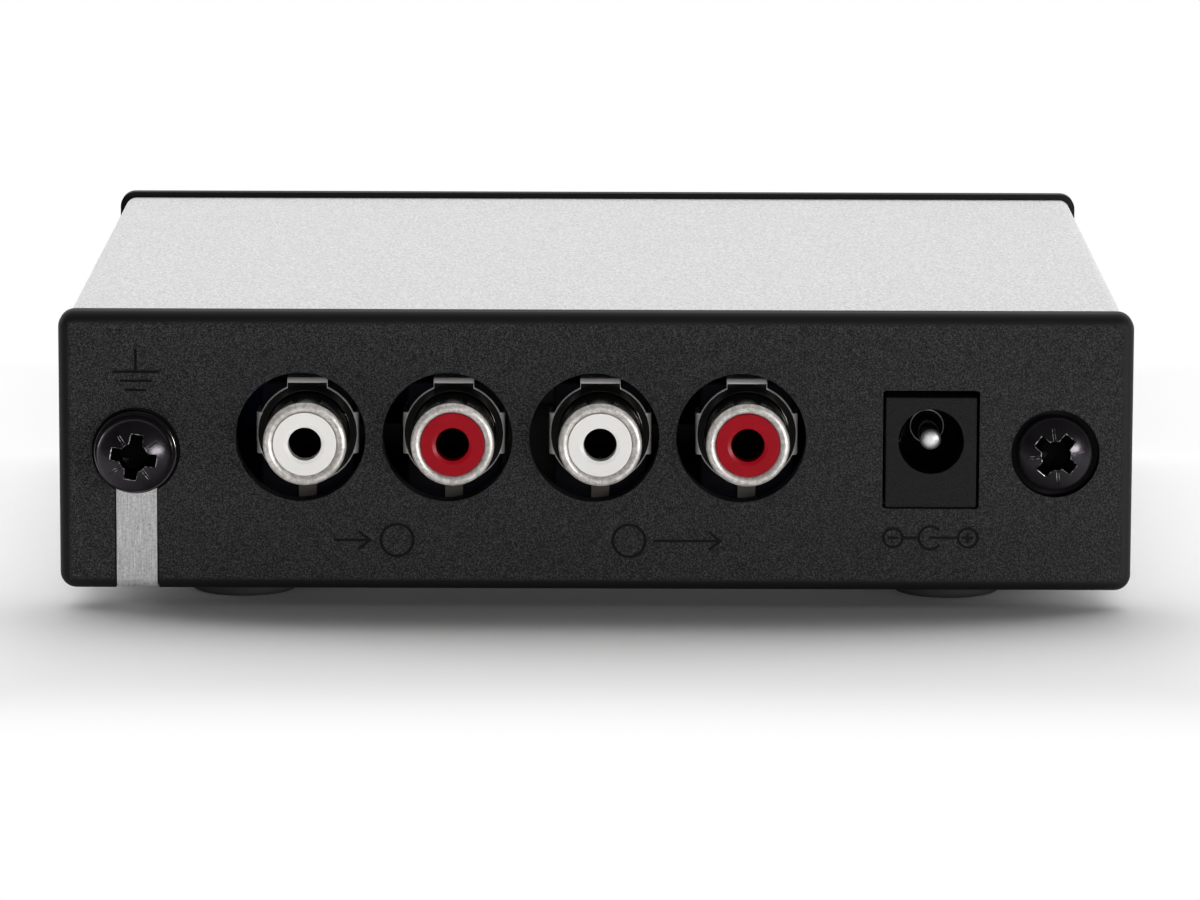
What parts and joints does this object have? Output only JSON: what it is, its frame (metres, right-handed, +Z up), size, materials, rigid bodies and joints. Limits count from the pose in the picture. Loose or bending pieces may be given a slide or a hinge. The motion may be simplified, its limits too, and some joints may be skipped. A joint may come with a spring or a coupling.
{
  "type": "phono preamp",
  "caption": "Small phono preamp: an aluminium sleeve between black end panels, with phono jacks, a power jack and an earth screw behind, a level knob in front.",
  "frame": {"origin": "middle of the footprint, jacks and knob included, at the plane the rubber feet stand on", "axes": "+X to the right as seen from behind, -Y out of the panel with the jacks, +Y out of the front with the knob, +Z up"},
  "size_m": [0.1058, 0.1046, 0.0295],
  "materials": {
    "bead_blasted_aluminium": "fine bead-blasted, clear anodised",
    "textured_black_plastic": "fine spark-eroded texture",
    "board_green": "solder mask",
    "foot_rubber": "matte",
    "strap_steel": "brushed along its length",
    "black_oxide_steel": "black oxide, satin",
    "jack_black_plastic": "moulded",
    "bright_nickel": "bright nickel plate",
    "satin_nickel": "satin nickel plate",
    "knob_black_plastic": "moulded, fluted",
    "white_plastic": "moulded",
    "red_plastic": "moulded",
    "light_lens": "clear moulded",
    "chip_black": "moulded epoxy",
    "capacitor_sleeve": "shrunk sleeve",
    "film_red": "dipped",
    "resistor_blue": "lacquered"
  },
  "bodies": {
    "case": {"sleeve": "bead_blasted_aluminium", "rear_panel": "textured_black_plastic", "front_panel": "textured_black_plastic", "circuit_board": "board_green", "rubber_feet": "foot_rubber", "earth_strap": "strap_steel", "rear_case_screw": "black_oxide_steel", "front_case_screws": "black_oxide_steel", "power_jack_body": "jack_black_plastic", "power_jack_pin": "bright_nickel", "level_control_body": "satin_nickel", "data_socket_shell": "satin_nickel", "data_socket_insert": "white_plastic", "power_light": "light_lens", "power_light_holder": "jack_black_plastic", "amplifier_chips": "chip_black", "electrolytic_capacitors": "capacitor_sleeve", "film_capacitors": "film_red", "resistors": "resistor_blue", "converter_chip": "chip_black", "clock_crystal": "satin_nickel", "voltage_regulator": "chip_black", "input_left_housing": "jack_black_plastic", "input_left_shell": "satin_nickel", "input_left_ring": "white_plastic", "input_left_contact": "bright_nickel", "input_right_housing": "jack_black_plastic", "input_right_shell": "satin_nickel", "input_right_ring": "red_plastic", "input_right_contact": "bright_nickel", "output_left_housing": "jack_black_plastic", "output_left_shell": "satin_nickel", "output_left_ring": "white_plastic", "output_left_contact": "bright_nickel", "output_right_housing": "jack_black_plastic", "output_right_shell": "satin_nickel", "output_right_ring": "red_plastic", "output_right_contact": "bright_nickel"},
    "earth_washer": {"earth_washer": "strap_steel"},
    "earth_screw": {"earth_screw": "black_oxide_steel"},
    "level_knob": {"level_shaft": "satin_nickel", "level_knob": "knob_black_plastic", "level_pointer": "white_plastic"},
    "power_spring": {"power_jack_spring": "bright_nickel"}
  },
  "joints": [
    {"name": "earth_screw_travel", "type": "slide", "parent": "case", "child": "earth_washer", "axis": [0, -1, 0], "range_m": [-0.00039, 0.0021]},
    {"name": "earth_screw_turn", "type": "hinge", "parent": "earth_washer", "child": "earth_screw", "pos_m": [-0.0453, -0.0478, 0.01565], "axis": [0, -1, 0], "range_deg": [-200, 1080]},
    {"name": "level_turn", "type": "hinge", "parent": "case", "child": "level_knob", "pos_m": [-0.01, 0.0442, 0.0162], "axis": [0, -1, 0], "range_deg": [-150, 150]},
    {"name": "power_spring_flex", "type": "hinge", "parent": "case", "child": "power_spring", "pos_m": [0.0294, -0.03705, 0.0168], "axis": [0, 0, -1], "range_deg": [0, 5], "stiffness_Nm_per_rad": 0.02}
  ],
  "couplings": [
    {"joint": "earth_screw_turn", "follows": "earth_screw_travel", "rad_per_m": 8976}
  ]
}
